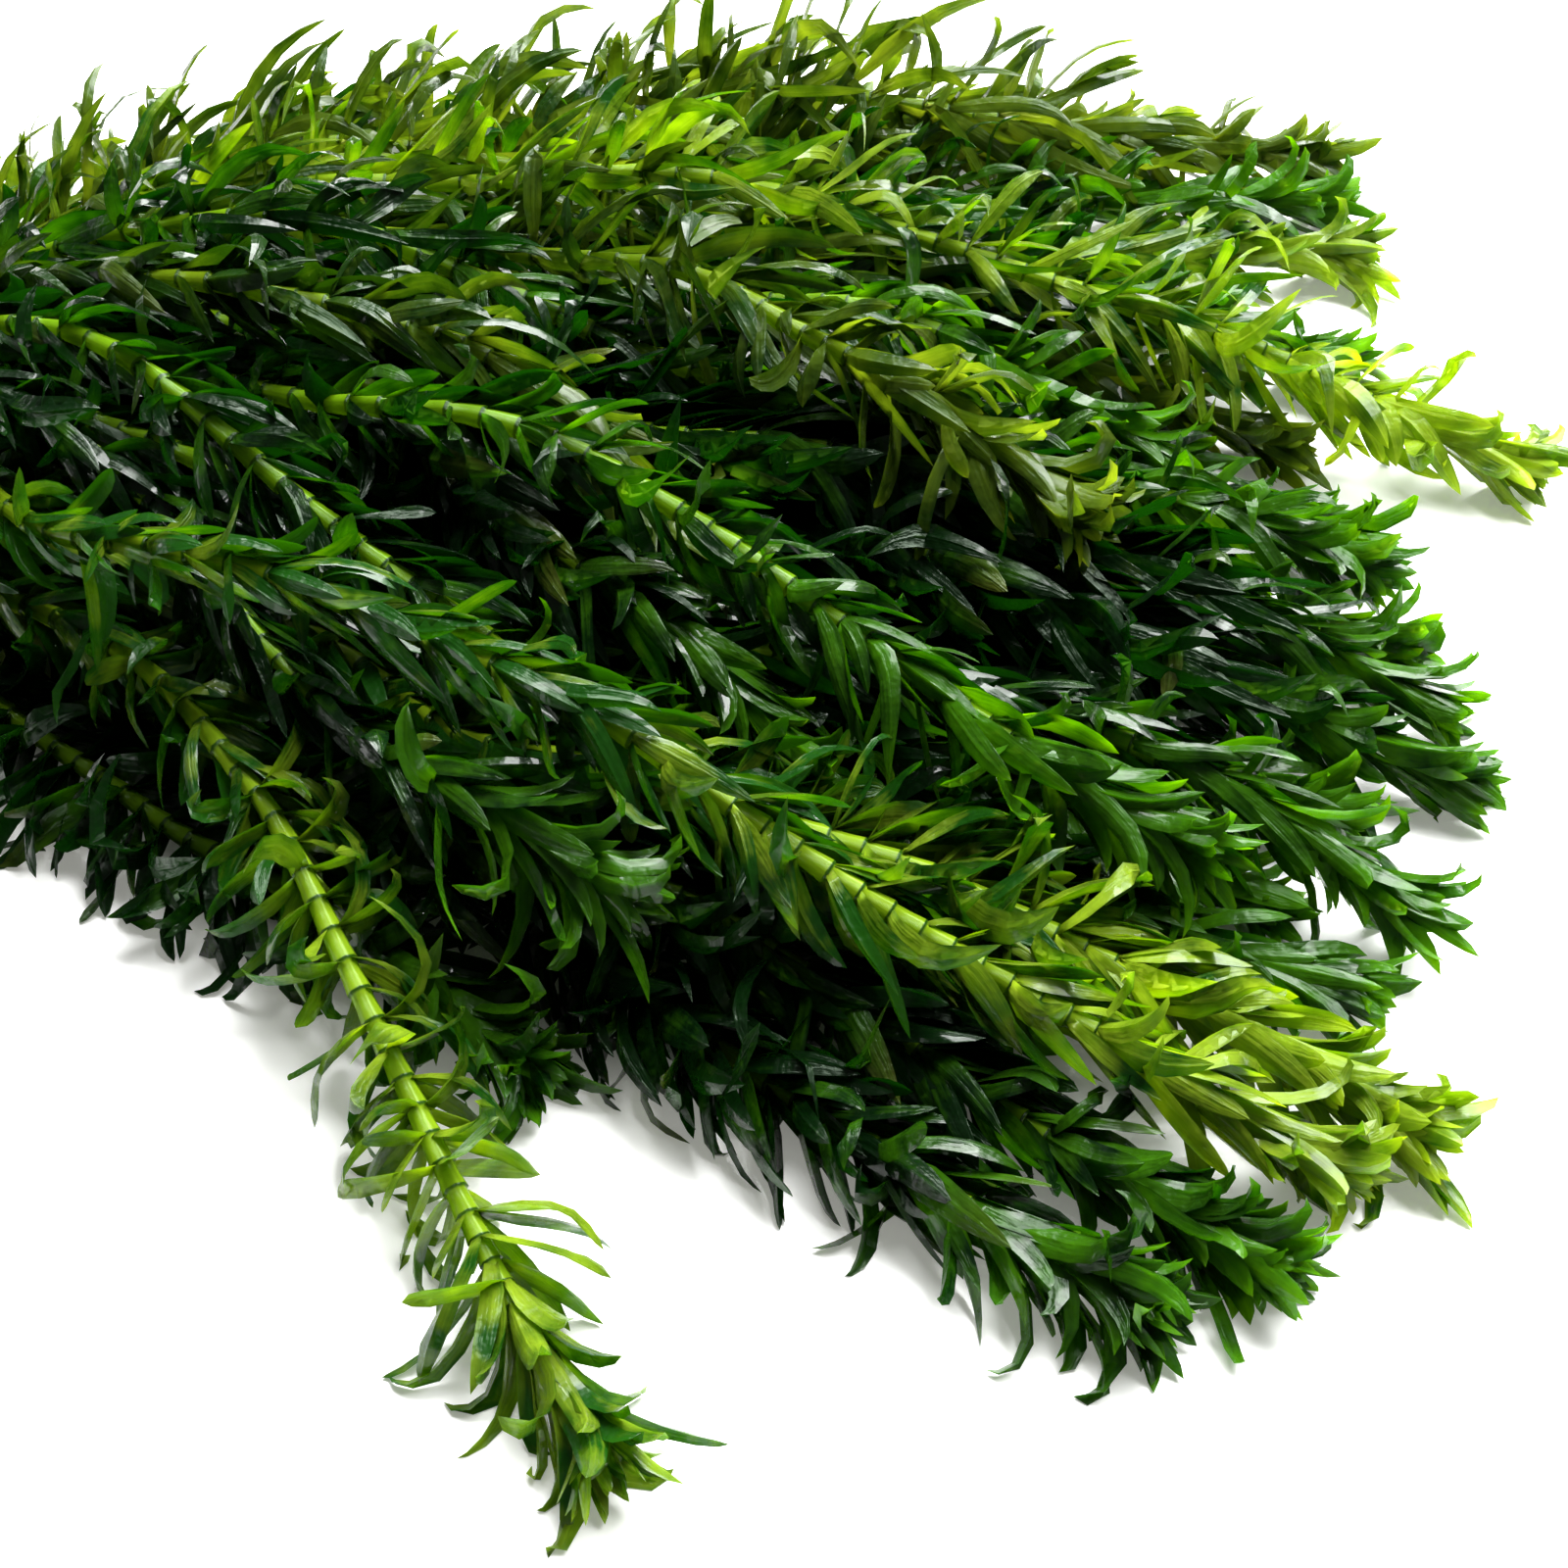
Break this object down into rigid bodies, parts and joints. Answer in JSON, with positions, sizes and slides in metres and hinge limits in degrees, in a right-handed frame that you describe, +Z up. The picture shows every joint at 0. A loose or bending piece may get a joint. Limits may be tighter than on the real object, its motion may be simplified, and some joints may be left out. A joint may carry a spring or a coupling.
{
  "type": "waterweed bunch",
  "caption": "Tied bunch of cut waterweed lying fanned out: long leafy stems with whorls of narrow wet leaves, held by a band at their cut ends.",
  "frame": {"origin": "under the middle of the bunch's box, on the surface it lies on", "axes": "+X from the cut ends to the tips, +Z up from the surface"},
  "size_m": [0.3718, 0.3356, 0.0599],
  "materials": {
    "green_leaves": "wet, thin, deep green leaves on a translucent yellow-green stem",
    "lime_leaves": "wet, thin, light yellow-green young leaves",
    "olive_leaves": "wet, thin, olive to yellowish older leaves",
    "rubber": "soft tan rubber band, wound three times"
  },
  "bodies": {
    "root": {"band": "rubber", "shoot_01": "lime_leaves", "shoot_02": "green_leaves", "shoot_03": "green_leaves", "shoot_04": "green_leaves", "shoot_05": "green_leaves", "shoot_06": "olive_leaves", "shoot_07": "olive_leaves", "shoot_08": "green_leaves", "shoot_09": "green_leaves", "shoot_10": "olive_leaves", "shoot_11": "lime_leaves", "shoot_12": "olive_leaves", "shoot_13": "green_leaves", "shoot_14": "lime_leaves", "shoot_15": "green_leaves", "shoot_16": "green_leaves", "shoot_17": "green_leaves", "shoot_18": "green_leaves", "shoot_19": "green_leaves", "shoot_20": "green_leaves", "shoot_21": "green_leaves", "shoot_22": "green_leaves", "shoot_23": "lime_leaves", "shoot_24": "lime_leaves", "shoot_25": "green_leaves", "shoot_26": "green_leaves", "shoot_27": "green_leaves", "shoot_28": "green_leaves", "shoot_29": "green_leaves", "shoot_30": "green_leaves", "shoot_31": "green_leaves", "shoot_32": "olive_leaves", "shoot_33": "green_leaves", "shoot_34": "green_leaves", "shoot_35": "green_leaves"}
  },
  "joints": []
}
